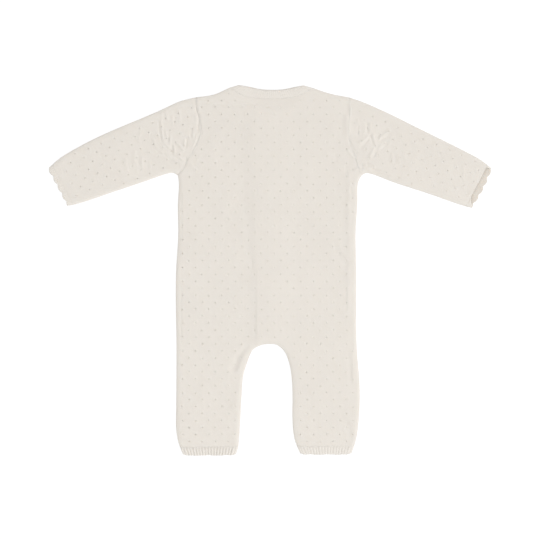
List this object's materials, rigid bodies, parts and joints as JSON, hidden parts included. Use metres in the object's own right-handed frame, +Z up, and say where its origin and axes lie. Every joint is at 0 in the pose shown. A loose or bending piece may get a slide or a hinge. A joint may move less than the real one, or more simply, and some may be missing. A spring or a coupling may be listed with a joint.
{
  "type": "baby romper",
  "caption": "Long-sleeved, long-legged knitted baby romper laid flat face down, with ribbed neckband and leg cuffs, scalloped sleeve ends and a buttoned front placket.",
  "frame": {"origin": "middle of the garment's footprint, on the surface it lies on", "axes": "+X across the garment to the right as seen from above, +Y towards the neck, +Z up from the surface"},
  "size_m": [0.6421, 0.538, 0.008],
  "materials": {
    "knit": "fine cream pointelle knit, matt with a soft nap",
    "rib": "fine cream rib knit, matt",
    "edging": "scalloped cream knitted edging, matt",
    "button": "cream button, satin"
  },
  "bodies": {
    "root": {"back": "knit", "front_left": "knit", "front_right": "knit", "sleeve_left": "knit", "sleeve_right": "knit", "sleeve_edge_left": "edging", "sleeve_edge_right": "edging", "leg_cuff_left": "rib", "leg_cuff_right": "rib", "neckband": "rib", "placket_over": "rib", "placket_under": "rib", "button_1": "button", "button_2": "button", "button_3": "button", "button_4": "button", "button_5": "button", "button_6": "button", "button_7": "button"}
  },
  "joints": []
}
